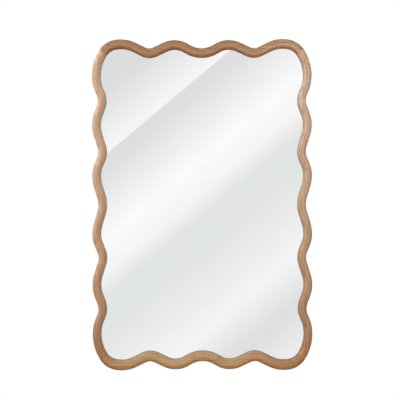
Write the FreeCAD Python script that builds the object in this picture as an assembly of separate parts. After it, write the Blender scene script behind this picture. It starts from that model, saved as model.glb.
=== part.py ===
import FreeCAD
import Part
import math
import os
from FreeCAD import Vector

# Wavy wooden wall mirror. X runs to the right, Z up, the front faces -Y and the wall is the plane y = 0.

# Frame
frame_width = 610.0
frame_height = 919.0
frame_depth = 25.0
top_rail_width = 25.6
bottom_rail_width = 28.3
stile_width = 23.4
edge_radius = 11.0
fullest_round_share = 0.48

# Waves of the outer edge. Stations run from the middle of a side to its corner crest, levels go down
# from that crest, and each bend between two stations has a radius share at its start and at its end.
rail_wave_depth = 25.0
rail_station_shares = (0.0, 0.333, 0.647, 1.0)
rail_level_shares = (1.0, 0.1, 1.0, 0.0)
rail_radius_shares = ((0.45, 0.53), (0.63, 0.21), (0.18, 0.71))
stile_wave_depth = 16.8
stile_station_shares = (0.0, 0.229, 0.411, 0.62, 0.81, 1.0)
stile_level_shares = (1.0, 0.0, 1.0, 0.0, 0.95, 0.0)
stile_radius_shares = ((0.32, 0.55), (0.61, 0.3), (0.235, 0.565), (0.61, 0.31), (0.245, 0.745))
shortest_flank = 0.05

# Rounded corners, from the corner crest of a rail to the corner crest of a stile. The mitres start at the
# square corners of the blanks, and the stiles' blanks stand out a little past the waves cut from them.
corner_width = 80.0
corner_height = 101.0
corner_radius_share = 0.8
corner_rail_sweep = math.radians(8.8)
corner_stile_sweep = math.radians(32.3)
mitre_angle = math.radians(45.0)
stile_blank_margin = 5.0

# Rebate, pane and backing, in layers from the back towards the front
lip_overlap = 8.0
flange_width = 8.0
board_thickness = 5.0
board_clearance = 0.5
tape_thickness = 1.6
tape_width = 25.0
tape_end_margin = 110.0
tape_place_shares = (-0.66, -0.22, 0.22, 0.66)
coat_thickness = 0.2
glass_thickness = 4.0
glass_clearance = 1.0

# Mitre dowels, with their depths below the crown of the frame
dowel_diameter = 6.0
dowel_length = 30.0
dowel_inset = 12.0
dowel_depths = (6.5, 14.5)
dowel_clearance = 0.05
dowel_end_gap = 0.5

# Wood screws with a cross recess
shank_diameter = 3.5
shank_clearance = 0.05
screw_tip = 3.0
board_screw_length = 14.0
board_screw_head_diameter = 7.0
board_screw_head_depth = 2.0
hanger_screw_length = 16.0
hanger_screw_head_diameter = 6.5
hanger_screw_head_height = 1.9
hanger_screw_head_edge = 0.7
recess_length = 3.4
recess_width = 0.8
recess_depth = 1.1

# Strap hangers: a folded steel strap whose eye holds the straight bar of a D-ring
strap_thickness = 0.9
strap_width = 11.0
strap_length = 30.0
strap_step = 3.0
strap_end_radius = 4.0
strap_first_hole = 7.5
strap_hole_pitch = 14.5
wire_diameter = 2.5
eye_clearance = 0.1
ring_inner_width = 16.0
ring_arm = 5.0
ring_bend_radius = 2.0
ring_rest_gap = 0.25

# Rubber bumpers
bumper_diameter = 12.0
bumper_height = 6.0
bumper_edge = 1.2
bumper_inset = 14.0

# Overrun of every cut past the face that it opens
overrun = 1.0

corner_radius = corner_radius_share * corner_width
rail_widths = {1: top_rail_width, -1: bottom_rail_width}
half_width = frame_width / 2
half_height = frame_height / 2
blank_half_width = half_width + stile_blank_margin
back_y = -bumper_height
front_y = back_y - frame_depth
board_front_y = back_y - board_thickness
tape_front_y = board_front_y - tape_thickness
coat_front_y = tape_front_y - coat_thickness
glass_front_y = coat_front_y - glass_thickness
wire_radius = wire_diameter / 2
shank_radius = shank_diameter / 2
bore_radius = shank_radius + shank_clearance
into_wood = Vector(0, -1, 0)
upright = Vector(0, 0, 1)
sideways = Vector(1, 0, 0)
corners = {"top_left": (-1, 1), "top_right": (1, 1), "bottom_left": (-1, -1), "bottom_right": (1, -1)}
members = {
    "top_rail": ("top_left", "top_right"),
    "bottom_rail": ("bottom_left", "bottom_right"),
    "left_stile": ("bottom_left", "top_left"),
    "right_stile": ("bottom_right", "top_right"),
}


# Turning points of the outer edge along half a side, as (along, out)
def wave_points(length, reach, depth, station_shares, level_shares):
    return [(length * station, reach - depth * level)
            for station, level in zip(station_shares, level_shares)]


rail_points = wave_points(half_width - corner_width, half_height, rail_wave_depth,
                          rail_station_shares, rail_level_shares)
stile_points = wave_points(half_height - corner_height, half_width, stile_wave_depth,
                           stile_station_shares, stile_level_shares)


# Two arcs and the straight flank between them, from one turning point of a wave to the next.
# An inset moves the whole bend in, which shrinks the crest's arc and widens the trough's.
def wave_bend(start, end, shares, inset):
    run = end[0] - start[0]
    rise = abs(end[1] - start[1])
    side = 1 if end[1] > start[1] else -1
    reach = (run ** 2 + rise ** 2) / (2 * rise)
    start_radius = shares[0] * reach
    end_radius = shares[1] * reach
    both = start_radius + end_radius
    flank = math.sqrt(max(0.0, run ** 2 + rise ** 2 - 2 * rise * both))
    turn = math.atan2(rise - both, run) + math.atan2(both, flank)
    start_centre = start[1] + side * start_radius
    end_centre = end[1] - side * end_radius
    start_radius += side * inset
    end_radius -= side * inset

    def on_start(angle):
        return (start[0] + start_radius * math.sin(angle),
                start_centre - side * start_radius * math.cos(angle))

    def on_end(angle):
        return (end[0] - end_radius * math.sin(angle),
                end_centre + side * end_radius * math.cos(angle))

    bend = [(on_start(0), on_start(turn / 2), on_start(turn))]
    if flank > shortest_flank:
        bend.append((on_start(turn), on_end(turn)))
    bend.append((on_end(turn), on_end(turn / 2), on_end(0)))
    return bend


# The three tangent arcs of the upper right corner: centre, radius, and first and last angle from +Z
def corner_arcs(rail_inset, stile_inset):
    wide = corner_width - stile_inset
    tall = corner_height - rail_inset
    first = corner_rail_sweep
    last = math.pi / 2 - corner_stile_sweep
    middle_radius = corner_radius - (rail_inset + stile_inset) / 2
    wide_left = wide - middle_radius * (math.sin(last) - math.sin(first))
    tall_left = tall - middle_radius * (math.cos(first) - math.cos(last))
    scale = math.sin(first) * math.cos(last) - (1 - math.sin(last)) * (1 - math.cos(first))
    rail_radius = (wide_left * math.cos(last) - tall_left * (1 - math.sin(last))) / scale
    stile_radius = (tall_left * math.sin(first) - wide_left * (1 - math.cos(first))) / scale
    rail_centre = (half_width - corner_width, half_height - rail_inset - rail_radius)
    middle_centre = (rail_centre[0] + (rail_radius - middle_radius) * math.sin(first),
                     rail_centre[1] + (rail_radius - middle_radius) * math.cos(first))
    stile_centre = (middle_centre[0] - (stile_radius - middle_radius) * math.sin(last),
                    middle_centre[1] - (stile_radius - middle_radius) * math.cos(last))
    return ((rail_centre, rail_radius, 0, first),
            (middle_centre, middle_radius, first, last),
            (stile_centre, stile_radius, last, math.pi / 2))


def arc_points(centre, radius, first, last):
    return tuple((centre[0] + radius * math.sin(angle), centre[1] + radius * math.cos(angle))
                 for angle in (first, (first + last) / 2, last))


# The outline's upper right quarter, clockwise from the middle of the top, moved in by the insets
def quarter_outline(rail_inset, stile_inset):
    quarter = []
    for start, end, shares in zip(rail_points, rail_points[1:], rail_radius_shares):
        quarter += wave_bend(start, end, shares, rail_inset)
    quarter += [arc_points(*arc) for arc in corner_arcs(rail_inset, stile_inset)]
    side = []
    for start, end, shares in zip(stile_points, stile_points[1:], stile_radius_shares):
        side += wave_bend(start, end, shares, stile_inset)
    quarter += [tuple((out, along) for along, out in reversed(piece)) for piece in reversed(side)]
    return quarter


def backwards(quarter):
    return [tuple(reversed(piece)) for piece in reversed(quarter)]


# The whole outline as a wire in the plane y
def outline(top_inset, bottom_inset, stile_inset, y):
    upper = quarter_outline(top_inset, stile_inset)
    lower = quarter_outline(bottom_inset, stile_inset)
    edges = []
    turns = ((upper, 1, 1), (backwards(lower), 1, -1), (lower, -1, -1), (backwards(upper), -1, 1))
    for pieces, x_sign, z_sign in turns:
        for piece in pieces:
            points = [Vector(x_sign * x, y, z_sign * z) for x, z in piece]
            curve = Part.Arc(*points) if len(points) == 3 else Part.LineSegment(*points)
            edges.append(curve.toShape())
    return Part.Wire(edges)


# A plate between two depths, whose outline is the frame's inner edge moved outwards by growth
def inner_plate(growth, first_y, last_y):
    insets = [width - growth for width in (top_rail_width, bottom_rail_width, stile_width)]
    face = Part.Face(outline(*insets, first_y))
    return face.extrude(Vector(0, last_y - first_y, 0))


# The frame as one ring: both front edges rounded, a rebate for the pane and a recess for the board
def frame_ring():
    ring = Part.Face(outline(0, 0, 0, front_y)).extrude(Vector(0, frame_depth, 0))
    ring = ring.cut(inner_plate(0, front_y - overrun, back_y + overrun))
    front_edges = [edge for edge in ring.Edges if edge.BoundBox.YMax < front_y + overrun]
    narrowest = min(top_rail_width, bottom_rail_width, stile_width)
    ring = ring.makeFillet(min(edge_radius, fullest_round_share * narrowest), front_edges)
    ring = ring.cut(inner_plate(lip_overlap, glass_front_y, back_y + overrun))
    return ring.cut(inner_plate(lip_overlap + flange_width, board_front_y, back_y + overrun))


mitre_way = (math.sin(mitre_angle), math.cos(mitre_angle))


# How far a mitre runs from the square corner of the blank to the round outer edge
def mitre_reach():
    centre = corner_arcs(0, 0)[1][0]
    across = blank_half_width - centre[0]
    up = half_height - centre[1]
    along = across * mitre_way[0] + up * mitre_way[1]
    aside = across * mitre_way[1] - up * mitre_way[0]
    return along - math.sqrt(corner_radius ** 2 - aside ** 2)


# A point on the mitre line of a corner, moved in from the outer edge
def mitre_point(corner, inset, y):
    x_sign, z_sign = corners[corner]
    distance = mitre_reach() + inset
    return Vector(x_sign * (blank_half_width - distance * mitre_way[0]), y,
                  z_sign * (half_height - distance * mitre_way[1]))


# A wedge that holds one frame member, between the mitre planes at its two ends
def member_wedge(first_corner, last_corner):
    inner = corner_radius + max(top_rail_width, bottom_rail_width)
    outer = -corner_width
    start_y = front_y - overrun
    points = [mitre_point(first_corner, inner, start_y), mitre_point(first_corner, outer, start_y),
              mitre_point(last_corner, outer, start_y), mitre_point(last_corner, inner, start_y)]
    face = Part.Face(Part.makePolygon(points + points[:1]))
    return face.extrude(Vector(0, frame_depth + 2 * overrun, 0))


# The dowels across one mitre, or their bores where clearances are given
def corner_dowels(corner, clearance, end_gap):
    x_sign, z_sign = corners[corner]
    way = Vector(x_sign * mitre_way[1], 0, -z_sign * mitre_way[0])
    length = dowel_length + 2 * end_gap
    dowels = []
    for depth in dowel_depths:
        start = mitre_point(corner, dowel_inset, front_y + depth) - way * (length / 2)
        dowels.append(Part.makeCylinder(dowel_diameter / 2 + clearance, length, start, way))
    return dowels


# Seats on the back, over the middle of the flange at a turning point of the waves
def rail_seat(point, x_sign, z_sign):
    along, out = point
    inset = rail_widths[z_sign] - lip_overlap - flange_width / 2
    return Vector(x_sign * along, back_y, z_sign * (out - inset))


def stile_seat(point, x_sign, z_sign):
    along, out = point
    inset = stile_width - lip_overlap - flange_width / 2
    return Vector(x_sign * (out - inset), back_y, z_sign * along)


# The board is screwed down at every trough: one in the middle of each side, and pairs either way
def board_screw_seats():
    seats = []
    for sign in (-1, 1):
        seats += [rail_seat(rail_points[0], 1, sign), stile_seat(stile_points[0], sign, 1)]
        for other in (-1, 1):
            seats += [rail_seat(point, other, sign) for point in rail_points[2::2]]
            seats += [stile_seat(point, sign, other) for point in stile_points[2::2]]
    return seats


# A screw's shank and point below z = 0
def screw_shank(length):
    shank = Part.makeCylinder(shank_radius, length - screw_tip, Vector(0, 0, screw_tip - length))
    return shank.fuse(Part.makeCone(0, shank_radius, screw_tip, Vector(0, 0, -length)))


def cross_recess(top):
    bottom = top - recess_depth
    slot = Part.makeBox(recess_length, recess_width, recess_depth + overrun,
                        Vector(-recess_length / 2, -recess_width / 2, bottom))
    cross_slot = slot.copy()
    cross_slot.rotate(Vector(0, 0, 0), Vector(0, 0, 1), 90)
    return slot.fuse(cross_slot)


def board_screw():
    head = Part.makeCone(shank_radius, board_screw_head_diameter / 2, board_screw_head_depth,
                         Vector(0, 0, -board_screw_head_depth))
    screw = screw_shank(board_screw_length).fuse(head)
    return screw.cut(cross_recess(0)).removeSplitter()


def hanger_screw():
    head = Part.makeCylinder(hanger_screw_head_diameter / 2, hanger_screw_head_height)
    rim = [edge for edge in head.Edges if edge.BoundBox.ZMin > hanger_screw_head_height / 2]
    head = head.makeFillet(hanger_screw_head_edge, rim)
    screw = screw_shank(hanger_screw_length).fuse(head)
    return screw.cut(cross_recess(hanger_screw_head_height)).removeSplitter()


# Sets a shape that is built with +Y up and +Z out of the back on a seat, with its up turned as given
def set_on_back(shape, seat, up):
    out = -into_wood
    across = up.cross(out)
    axes = FreeCAD.Matrix(across.x, up.x, out.x, 0, across.y, up.y, out.y, 0, across.z, up.z, out.z, 0)
    placed = shape.copy()
    placed.Placement = FreeCAD.Placement(seat, FreeCAD.Rotation(axes)).multiply(shape.Placement)
    return placed


eye_inner_radius = wire_radius + eye_clearance
eye_outer_radius = eye_inner_radius + strap_thickness
strap_holes = (-strap_first_hole, -strap_first_hole - strap_hole_pitch)


# One layer of the strap's sheet, rounded at its lower end
def strap_layer(length, height):
    layer = Part.makeBox(strap_width, length, strap_thickness, Vector(-strap_width / 2, -length, height))
    end_edges = [edge for edge in layer.Edges
                 if edge.BoundBox.ZLength > strap_thickness / 2 and edge.BoundBox.YMax < -length / 2]
    return layer.makeFillet(min(strap_end_radius, fullest_round_share * strap_width), end_edges)


# The folded strap: two layers of sheet that run into a rolled eye at the top
def hanger_strap():
    across = Vector(1, 0, 0)
    eye_end = Vector(-strap_width / 2, 0, eye_outer_radius)
    eye = Part.makeCylinder(eye_outer_radius, strap_width, eye_end, across)
    strap = eye.fuse([strap_layer(strap_length, 0), strap_layer(strap_length - strap_step, strap_thickness)])
    bore = Part.makeCylinder(eye_inner_radius, strap_width + 2 * overrun, eye_end - across * overrun, across)
    holes = [Part.makeCylinder(bore_radius, 2 * strap_thickness + 2 * overrun, Vector(0, hole, -overrun))
             for hole in strap_holes]
    return strap.cut([bore] + holes).removeSplitter()


ring_half = ring_inner_width / 2 + wire_radius
ring_reach = ring_arm + ring_half
ring_lean = math.asin((eye_outer_radius - wire_radius - ring_rest_gap) / ring_reach)


# The D-ring: round wire along a straight bar, two bends, two arms and a half-round bow.
# At rest it stands up from the eye and leans on the back.
def d_ring():
    bar = ring_half - ring_bend_radius
    pieces = [Part.makeCylinder(wire_radius, 2 * bar, Vector(-bar, 0, 0), Vector(1, 0, 0))]
    for side in (-1, 1):
        bend_start = Part.makeCircle(wire_radius, Vector(side * bar, 0, 0), Vector(1, 0, 0))
        bend_axis = Vector(side * bar, ring_bend_radius, 0)
        pieces.append(Part.Face(Part.Wire(bend_start)).revolve(bend_axis, Vector(0, 0, side), 90))
        arm_start = Vector(side * ring_half, ring_bend_radius, 0)
        pieces.append(Part.makeCylinder(wire_radius, ring_arm - ring_bend_radius, arm_start, Vector(0, 1, 0)))
    bow_start = Part.makeCircle(wire_radius, Vector(ring_half, ring_arm, 0), Vector(0, 1, 0))
    pieces.append(Part.Face(Part.Wire(bow_start)).revolve(Vector(0, ring_arm, 0), Vector(0, 0, 1), 180))
    ring = pieces[0].fuse(pieces[1:]).removeSplitter()
    ring.rotate(Vector(0, 0, 0), Vector(1, 0, 0), -math.degrees(ring_lean))
    ring.translate(Vector(0, 0, eye_outer_radius))
    return ring


def bumper():
    pad = Part.makeCylinder(bumper_diameter / 2, bumper_height)
    rim = [edge for edge in pad.Edges if edge.BoundBox.ZMin > bumper_height / 2]
    return pad.makeFillet(bumper_edge, rim)


# Two hangers on the stiles for upright use, and two on the rails for sideways use
hangers = {
    "left": (stile_seat(stile_points[-3], -1, 1), upright),
    "right": (stile_seat(stile_points[-3], 1, 1), upright),
    "top": (rail_seat(rail_points[-1], 1, 1), sideways),
    "bottom": (rail_seat(rail_points[-1], 1, -1), sideways),
}
nodes = {}
hanger_screw_seats = []
for name, (seat, up) in hangers.items():
    nodes[name + "_hanger_strap"] = set_on_back(hanger_strap(), seat, up)
    nodes[name + "_d_ring"] = set_on_back(d_ring(), seat, up)
    hanger_screw_seats += [seat + up * hole for hole in strap_holes]
on_strap = -into_wood * (2 * strap_thickness)
nodes["hanger_screws"] = Part.makeCompound([set_on_back(hanger_screw(), seat + on_strap, upright)
                                            for seat in hanger_screw_seats])
board_seats = board_screw_seats()
nodes["board_screws"] = Part.makeCompound([set_on_back(board_screw(), seat, upright) for seat in board_seats])
nodes["mitre_dowels"] = Part.makeCompound([dowel for corner in corners
                                           for dowel in corner_dowels(corner, 0, 0)])
for corner in corners:
    nodes["bumper_" + corner] = set_on_back(bumper(), mitre_point(corner, bumper_inset, back_y), upright)

# Bores for the screws and dowels, open at the back
bores = []
for seats, depth in ((board_seats, board_screw_length), (hanger_screw_seats, hanger_screw_length)):
    bores += [Part.makeCylinder(bore_radius, depth + overrun, seat - into_wood * overrun, into_wood)
              for seat in seats]
sinks = [Part.makeCone(board_screw_head_diameter / 2 + shank_clearance, bore_radius, board_screw_head_depth,
                       seat, into_wood) for seat in board_seats]
dowel_bores = [bore for corner in corners for bore in corner_dowels(corner, dowel_clearance, dowel_end_gap)]

# Wooden members
ring = frame_ring().cut(Part.makeCompound(bores + dowel_bores))
for name, ends in members.items():
    nodes[name] = ring.common(member_wedge(*ends))

# Pane, tape and backing board
nodes["mirror_glass"] = inner_plate(lip_overlap - glass_clearance, glass_front_y, coat_front_y)
nodes["silver_coat"] = inner_plate(lip_overlap - glass_clearance, coat_front_y, tape_front_y)
tape_length = frame_height - 2 * tape_end_margin
nodes["foam_tape_strips"] = Part.makeCompound([
    Part.makeBox(tape_width, tape_thickness, tape_length,
                 Vector(share * half_width - tape_width / 2, tape_front_y, -tape_length / 2))
    for share in tape_place_shares])
board = inner_plate(lip_overlap + flange_width - board_clearance, board_front_y, back_y)
nodes["backing_board"] = board.cut(Part.makeCompound(bores + sinks))

os.makedirs("parts", exist_ok=True)
for name, shape in nodes.items():
    shape.exportStep("parts/" + name + ".step")
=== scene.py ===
import math

import bmesh
import bpy
from mathutils import Matrix, Vector


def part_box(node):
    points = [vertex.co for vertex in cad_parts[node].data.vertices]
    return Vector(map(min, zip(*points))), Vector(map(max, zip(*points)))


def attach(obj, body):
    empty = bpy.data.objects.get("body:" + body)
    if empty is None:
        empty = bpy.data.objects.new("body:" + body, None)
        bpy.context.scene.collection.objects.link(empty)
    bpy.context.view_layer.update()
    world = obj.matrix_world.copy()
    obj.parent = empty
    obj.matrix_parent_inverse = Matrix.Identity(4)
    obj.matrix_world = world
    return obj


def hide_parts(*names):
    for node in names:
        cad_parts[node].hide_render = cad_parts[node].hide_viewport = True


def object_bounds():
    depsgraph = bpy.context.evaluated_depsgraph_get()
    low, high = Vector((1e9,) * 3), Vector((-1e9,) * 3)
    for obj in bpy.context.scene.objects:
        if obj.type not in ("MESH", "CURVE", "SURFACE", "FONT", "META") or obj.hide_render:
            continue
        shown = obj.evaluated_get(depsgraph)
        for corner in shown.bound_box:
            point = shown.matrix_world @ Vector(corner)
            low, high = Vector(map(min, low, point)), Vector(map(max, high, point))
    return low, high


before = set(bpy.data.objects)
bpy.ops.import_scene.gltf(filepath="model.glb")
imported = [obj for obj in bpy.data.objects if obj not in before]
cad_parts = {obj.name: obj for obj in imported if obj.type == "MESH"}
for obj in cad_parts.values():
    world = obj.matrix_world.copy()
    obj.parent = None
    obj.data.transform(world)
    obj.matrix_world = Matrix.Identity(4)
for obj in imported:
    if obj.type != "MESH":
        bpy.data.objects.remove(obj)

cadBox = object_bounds()
print("frame loaded:", len(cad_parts), "nodes")


# Object mode and edit mode helpers

def pickOnly(*pieces):
    bpy.ops.object.select_all(action="DESELECT")
    for piece in pieces:
        piece.select_set(True)
    bpy.context.view_layer.objects.active = pieces[-1]


def selectAll():
    bpy.ops.mesh.select_mode(type="VERT")
    bpy.ops.mesh.select_all(action="SELECT")


def startEdit(piece):
    pickOnly(piece)
    bpy.ops.object.mode_set(mode="EDIT")
    selectAll()
    return bmesh.from_edit_mesh(piece.data)


def endEdit():
    bpy.ops.object.mode_set(mode="OBJECT")


def applyPlace(piece):
    pickOnly(piece)
    bpy.ops.object.transform_apply(location=True, rotation=True, scale=True)


def named(piece, name):
    piece.name = name
    piece.data.name = name
    return piece


def newCircle(name, sides, radius, fill="NOTHING"):
    bpy.ops.mesh.primitive_circle_add(vertices=sides, radius=radius, fill_type=fill)
    return named(bpy.context.object, name)


def newPlane(name, size, place, turn=(0, 0, 0)):
    bpy.ops.mesh.primitive_plane_add(size=1, location=place, rotation=turn)
    plane = named(bpy.context.object, name)
    plane.scale = (*size, 1)
    applyPlace(plane)
    return plane


def newCube(name, size, place):
    bpy.ops.mesh.primitive_cube_add(size=1, location=place)
    cube = named(bpy.context.object, name)
    cube.scale = size
    applyPlace(cube)
    return cube


def duplicateOf(piece, name):
    pickOnly(piece)
    bpy.ops.object.duplicate()
    return named(bpy.context.object, name)


def joined(pieces, name):
    pickOnly(*pieces)
    bpy.ops.object.join()
    return named(bpy.context.object, name)


def applyModifier(piece, kind, **settings):
    pickOnly(piece)
    modifier = piece.modifiers.new(kind.lower(), kind)
    for key, value in settings.items():
        setattr(modifier, key, value)
    bpy.ops.object.modifier_apply(modifier=modifier.name)


def cutAway(piece, tool):
    applyModifier(piece, "BOOLEAN", object=tool, operation="DIFFERENCE", solver="EXACT")
    bpy.data.objects.remove(tool)


def selectParts(mesh, kind, parts, wanted):
    bpy.ops.mesh.select_mode(type=kind)
    bpy.ops.mesh.select_all(action="DESELECT")
    for part in parts:
        part.select_set(wanted(part))
    mesh.select_flush_mode()


def selectEdges(mesh, wanted):
    selectParts(mesh, "EDGE", mesh.edges, wanted)


def faceOut():
    selectAll()
    bpy.ops.mesh.remove_doubles(threshold=1e-6)
    bpy.ops.mesh.normals_make_consistent(inside=False)


def closeEnds():
    faceOut()
    bpy.ops.mesh.fill_holes(sides=0)
    faceOut()


def extrudeBy(x, y, z):
    bpy.ops.mesh.extrude_region_move(TRANSFORM_OT_translate={"value": (x, y, z)})


# Spin turns clockwise round its axis, so the angle is given the other way
def spinBy(steps, angle, centre, axis):
    bpy.ops.mesh.spin(steps=steps, angle=-angle, center=centre, axis=axis, use_auto_merge=False)


def smoothByAngle(piece, degrees):
    pickOnly(piece)
    bpy.ops.object.shade_smooth_by_angle(angle=math.radians(degrees))


def setFinish(piece, material):
    piece.data.materials.clear()
    piece.data.materials.append(material)


# A finished piece: its material, the body that it rides on and the node that it stands for
def finishPiece(piece, material, body, node):
    setFinish(piece, material)
    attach(piece, body)
    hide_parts(node)


# Shader helpers: a value that is a socket is linked, any other is set

def addNode(tree, kind, inputs=None, **settings):
    node = tree.nodes.new("ShaderNode" + kind)
    for key, value in settings.items():
        setattr(node, key, value)
    for key, value in (inputs or {}).items():
        if isinstance(value, bpy.types.NodeSocket):
            tree.links.new(value, node.inputs[key])
        else:
            node.inputs[key].default_value = value
    return node


def addMath(tree, operation, first, second, clamp=False):
    inputs = {0: first, 1: second}
    return addNode(tree, "Math", inputs, operation=operation, use_clamp=clamp).outputs[0]


def addRange(tree, value, low, high, toLow=0.0, toHigh=1.0):
    inputs = {"Value": value, "From Min": low, "From Max": high, "To Min": toLow, "To Max": toHigh}
    return addNode(tree, "MapRange", inputs).outputs[0]


# A colour of red, green and blue with its alpha, or a socket as it is
def opaque(colour):
    return (*colour, 1) if isinstance(colour, tuple) else colour


def addMix(tree, factor, first, second, blend="MIX"):
    inputs = {0: factor, 6: opaque(first), 7: opaque(second)}
    return addNode(tree, "Mix", inputs, data_type="RGBA", blend_type=blend).outputs[2]


def addRamp(tree, factor, stops):
    node = addNode(tree, "ValToRGB", {"Fac": factor})
    elements = node.color_ramp.elements
    while len(elements) < len(stops):
        elements.new(1.0)
    for element, (place, colour) in zip(elements, stops):
        element.position = place
        element.color = opaque(colour)
    return node.outputs["Color"]


# Two tints that change over between a low and a high value of the factor
def addTints(tree, factor, tints, low=0.3, high=0.7):
    return addRamp(tree, factor, list(zip((low, high), tints)))


def addMapping(tree, vector, place=(0, 0, 0), turn=(0, 0, 0), scale=(1, 1, 1)):
    inputs = {"Vector": vector, "Location": place, "Rotation": turn, "Scale": scale}
    return addNode(tree, "Mapping", inputs).outputs[0]


def addVectorMath(tree, operation, first, second):
    inputs = {0: first, ("Scale" if operation == "SCALE" else 1): second}
    return addNode(tree, "VectorMath", inputs, operation=operation).outputs[0]


def addNoise(tree, vector, stretch, detail=2.0, roughness=0.5, output="Fac"):
    inputs = {"Vector": addMapping(tree, vector, scale=stretch), "Scale": 1.0, "Detail": detail,
              "Roughness": roughness}
    return addNode(tree, "TexNoise", inputs).outputs[output]


# Noise of which a range is shown, from 0 to 1
def addPatches(tree, vector, stretch, shown, detail=2.0, roughness=0.5):
    return addRange(tree, addNoise(tree, vector, stretch, detail, roughness), *shown)


def addBump(tree, height, strength, distance):
    inputs = {"Height": height, "Strength": strength, "Distance": distance}
    return addNode(tree, "Bump", inputs).outputs["Normal"]


# A group with a vector and named numbers as its inputs
def newGroup(name, numbers, outputs):
    group = bpy.data.node_groups.new(name, "ShaderNodeTree")
    addSocket = group.interface.new_socket
    addSocket(name="Vector", in_out="INPUT", socket_type="NodeSocketVector")
    for socketName, value in numbers.items():
        addSocket(name=socketName, in_out="INPUT", socket_type="NodeSocketFloat").default_value = value
    for socketName in outputs:
        addSocket(name=socketName, in_out="OUTPUT", socket_type="NodeSocketFloat")
    return group, group.nodes.new("NodeGroupInput").outputs, group.nodes.new("NodeGroupOutput").inputs


def putOut(group, made, **sockets):
    for name, socket in sockets.items():
        group.links.new(socket, made[name])
    return group


def emptyTree(holder):
    holder.use_nodes = True
    holder.node_tree.nodes.clear()
    return holder.node_tree


def newMaterial(name, **shaderInputs):
    material = bpy.data.materials.new(name)
    tree = emptyTree(material)
    shader = addNode(tree, "BsdfPrincipled")
    for key, value in shaderInputs.items():
        shader.inputs[key.replace("_", " ")].default_value = value
    addNode(tree, "OutputMaterial", {"Surface": shader.outputs[0]})
    place = addNode(tree, "TexCoord").outputs["Object"]
    return material, tree, shader, place


def feed(tree, shader, **sockets):
    for key, socket in sockets.items():
        tree.links.new(socket, shader.inputs[key.replace("_", " ")])


# The wavy outline, as the CAD frame has it, in metres

wave = {
    "halfWidth": cadBox[1].x, "halfHeight": cadBox[1].z,
    "topWidth": 0.0256, "bottomWidth": 0.0283, "stileWidth": 0.0234,
    "railDepth": 0.025, "railStations": (0.0, 0.333, 0.647, 1.0), "railLevels": (1.0, 0.1, 1.0, 0.0),
    "railRadii": ((0.45, 0.53), (0.63, 0.21), (0.18, 0.71)),
    "stileDepth": 0.0168, "stileStations": (0.0, 0.229, 0.411, 0.62, 0.81, 1.0),
    "stileLevels": (1.0, 0.0, 1.0, 0.0, 0.95, 0.0),
    "stileRadii": ((0.32, 0.55), (0.61, 0.3), (0.235, 0.565), (0.61, 0.31), (0.245, 0.745)),
    "cornerWidth": 0.080, "cornerHeight": 0.101, "cornerRadius": 0.064,
    "cornerRailSweep": math.radians(8.8), "cornerStileSweep": math.radians(32.3),
    "mitreAngle": math.radians(45), "stileBlankMargin": 0.005,
    "step": 0.0026, "cornerTurn": math.radians(1.4),    # one face along the waves, and round a corner
}


def wavePoints(length, reach, depth, stations, levels):
    return [(length * station, reach - depth * level) for station, level in zip(stations, levels)]


railPoints = wavePoints(wave["halfWidth"] - wave["cornerWidth"], wave["halfHeight"], wave["railDepth"],
                        wave["railStations"], wave["railLevels"])
stilePoints = wavePoints(wave["halfHeight"] - wave["cornerHeight"], wave["halfWidth"], wave["stileDepth"],
                         wave["stileStations"], wave["stileLevels"])


def stepsFor(length):
    return max(2, math.ceil(length / wave["step"]))


# Arc, straight flank and arc between two turning points, moved in by the inset, without its last point
def bendPoints(start, end, radii, inset):
    run = end[0] - start[0]
    rise = abs(end[1] - start[1])
    side = 1 if end[1] > start[1] else -1
    reach = (run ** 2 + rise ** 2) / (2 * rise)
    startRadius, endRadius = radii[0] * reach, radii[1] * reach
    both = startRadius + endRadius
    flank = math.sqrt(max(0.0, run ** 2 + rise ** 2 - 2 * rise * both))
    turn = math.atan2(rise - both, run) + math.atan2(both, flank)
    startSteps, endSteps = stepsFor(startRadius * turn), stepsFor(endRadius * turn)
    startCentre, endCentre = start[1] + side * startRadius, end[1] - side * endRadius
    startRadius += side * inset
    endRadius -= side * inset

    def onStart(angle):
        return start[0] + startRadius * math.sin(angle), startCentre - side * startRadius * math.cos(angle)

    def onEnd(angle):
        return end[0] - endRadius * math.sin(angle), endCentre + side * endRadius * math.cos(angle)

    points = [onStart(turn * k / startSteps) for k in range(startSteps)]
    if flank > wave["step"] / 2:
        flankSteps = stepsFor(flank)
        first, last = Vector(onStart(turn)), Vector(onEnd(turn))
        points += [tuple(first.lerp(last, k / flankSteps)) for k in range(flankSteps)]
    return points + [onEnd(turn * (1 - k / endSteps)) for k in range(endSteps)]


# The corner's three arcs: centre, radius, first and last angle from +Z
def cornerArcs(railInset, stileInset):
    wide, tall = wave["cornerWidth"] - stileInset, wave["cornerHeight"] - railInset
    first, last = wave["cornerRailSweep"], math.pi / 2 - wave["cornerStileSweep"]
    middle = wave["cornerRadius"] - (railInset + stileInset) / 2
    wideLeft = wide - middle * (math.sin(last) - math.sin(first))
    tallLeft = tall - middle * (math.cos(first) - math.cos(last))
    scale = math.sin(first) * math.cos(last) - (1 - math.sin(last)) * (1 - math.cos(first))
    rail = (wideLeft * math.cos(last) - tallLeft * (1 - math.sin(last))) / scale
    stile = (tallLeft * math.sin(first) - wideLeft * (1 - math.cos(first))) / scale
    railCentre = Vector((wave["halfWidth"] - wave["cornerWidth"], wave["halfHeight"] - railInset - rail))
    middleCentre = railCentre + (rail - middle) * Vector((math.sin(first), math.cos(first)))
    stileCentre = middleCentre - (stile - middle) * Vector((math.sin(last), math.cos(last)))
    return ((railCentre, rail, 0, first), (middleCentre, middle, first, last),
            (stileCentre, stile, last, math.pi / 2))


blankCorner = Vector((wave["halfWidth"] + wave["stileBlankMargin"], wave["halfHeight"]))
mitreLine = Vector((math.sin(wave["mitreAngle"]), math.cos(wave["mitreAngle"])))


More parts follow.
